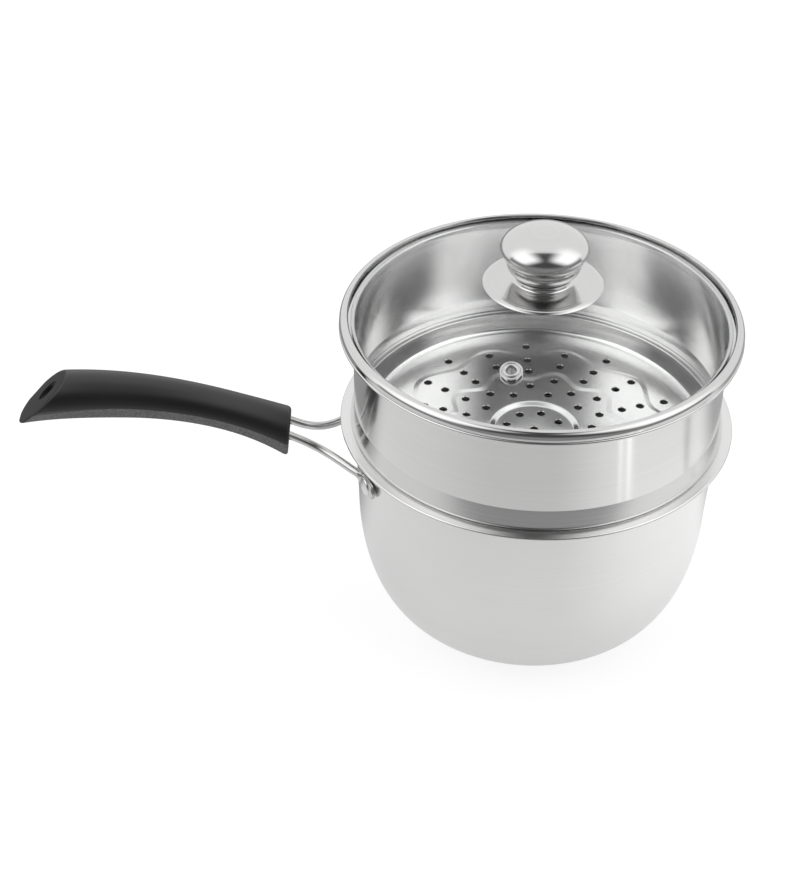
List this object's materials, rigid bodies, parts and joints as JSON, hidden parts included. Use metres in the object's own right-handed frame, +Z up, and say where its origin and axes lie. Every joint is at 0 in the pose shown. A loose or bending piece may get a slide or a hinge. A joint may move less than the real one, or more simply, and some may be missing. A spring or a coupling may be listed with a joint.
{
  "type": "steamer pot",
  "caption": "Long-handled stainless pot carrying a perforated steamer basket under a domed glass lid with a steel band, steam vent and knob.",
  "frame": {"origin": "middle of the pot's flat base, on the worktop", "axes": "+Z up out of the pot, handle along -X, +Y to the back of the pictured view"},
  "size_m": [0.3747, 0.207, 0.2306],
  "materials": {
    "satin_steel": "satin",
    "polished_steel": "polished",
    "knob_steel": "fine satin",
    "clear_glass": "clear tempered",
    "phenolic": "black satin phenolic",
    "silicone": "translucent white silicone"
  },
  "bodies": {
    "pot": {"pot_body": "satin_steel", "handle_wire": "polished_steel", "rivet_front": "polished_steel", "rivet_rear": "polished_steel", "grip": "phenolic"},
    "basket": {"steamer_basket": "polished_steel"},
    "lid": {"lid_glass": "clear_glass", "lid_band": "polished_steel", "vent_eyelet": "polished_steel", "vent_washer": "polished_steel", "knob_flange": "knob_steel", "knob_cup": "knob_steel", "knob_cap": "knob_steel", "knob_post": "polished_steel", "knob_screw": "polished_steel", "knob_washer": "polished_steel", "knob_gasket_lower": "silicone", "knob_gasket_upper": "silicone"}
  },
  "joints": [
    {"name": "basket_lift", "type": "slide", "parent": "pot", "child": "basket", "axis": [0, 0, 1], "range_m": [0, 0.07]},
    {"name": "lid_lift", "type": "slide", "parent": "basket", "child": "lid", "axis": [0, 0, 1], "range_m": [0, 0.07]}
  ]
}
